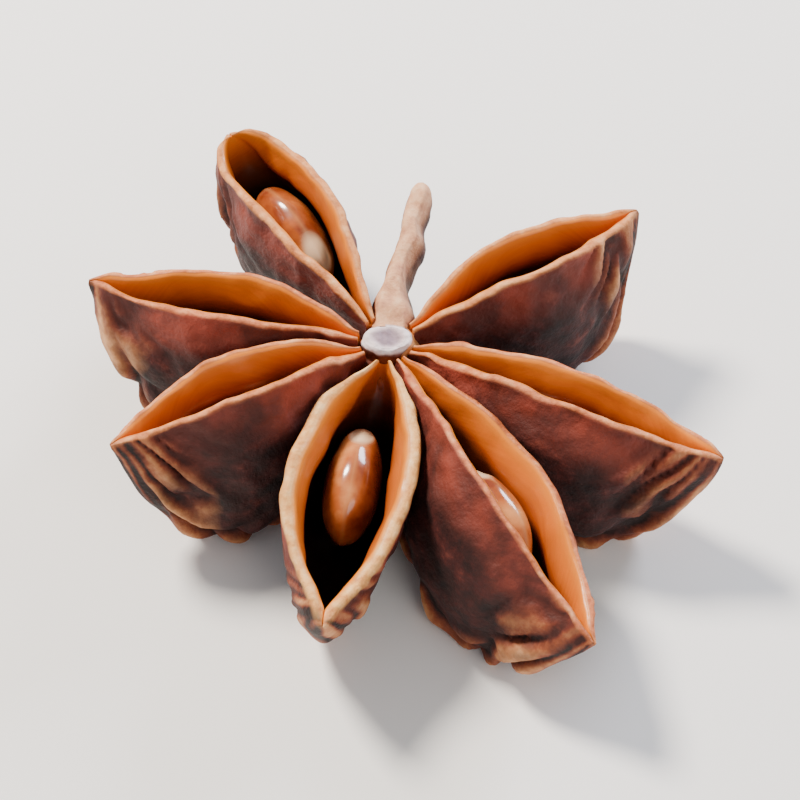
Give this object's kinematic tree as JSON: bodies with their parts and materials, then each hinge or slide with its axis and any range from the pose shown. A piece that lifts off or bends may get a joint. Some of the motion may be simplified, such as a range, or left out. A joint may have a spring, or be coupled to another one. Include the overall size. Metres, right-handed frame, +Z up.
{
  "type": "star anise pod",
  "caption": "Dried star-shaped spice fruit: boat-shaped carpels round a short column, split open along the top, with loose glossy seeds inside.",
  "frame": {"origin": "centre of the pod's footprint, on the surface that it rests on", "axes": "+Z up out of the open carpels, +X to the right and +Y to the back as the picture shows the pod"},
  "size_m": [0.0384, 0.0367, 0.0114],
  "materials": {
    "husk": "dry woody husk, rough outside and polished golden inside the carpels",
    "seed_coat": "hard glossy chestnut seed coat with a pale scar at one end"
  },
  "bodies": {
    "root": {"pod": "husk", "seed_front": "seed_coat", "seed_front_right": "seed_coat", "seed_right": "seed_coat", "seed_back_left": "seed_coat", "seed_front_left": "seed_coat"}
  },
  "joints": []
}
